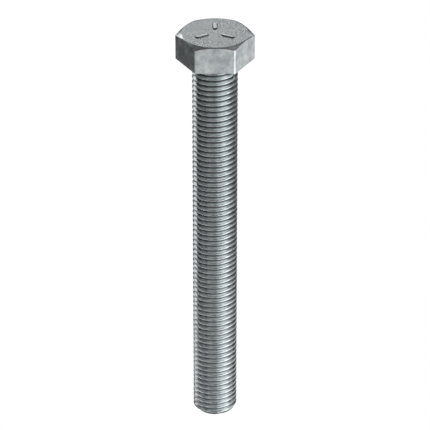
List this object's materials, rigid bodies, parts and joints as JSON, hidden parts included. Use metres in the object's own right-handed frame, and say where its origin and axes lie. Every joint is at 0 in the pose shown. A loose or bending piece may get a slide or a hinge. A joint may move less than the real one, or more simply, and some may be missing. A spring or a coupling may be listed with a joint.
{
  "type": "hex bolt",
  "caption": "Fully threaded hexagon head bolt in zinc-plated steel, with a washer face, chamfered head and chamfered point.",
  "frame": {"origin": "centre of the flat end of the point, which the bolt stands on", "axes": "+Z along the bolt's axis, from the point to the head; +Y square to one flat of the hexagon; +X through one of its corners"},
  "size_m": [0.0346, 0.03, 0.193],
  "materials": {
    "forged_head": "cold-forged steel, bright zinc plated, satin with a fine grain",
    "rolled_thread": "rolled thread, bright zinc plated, a little smoother than the head"
  },
  "bodies": {
    "root": {"hex_head": "forged_head", "threaded_shank": "rolled_thread"}
  },
  "joints": []
}
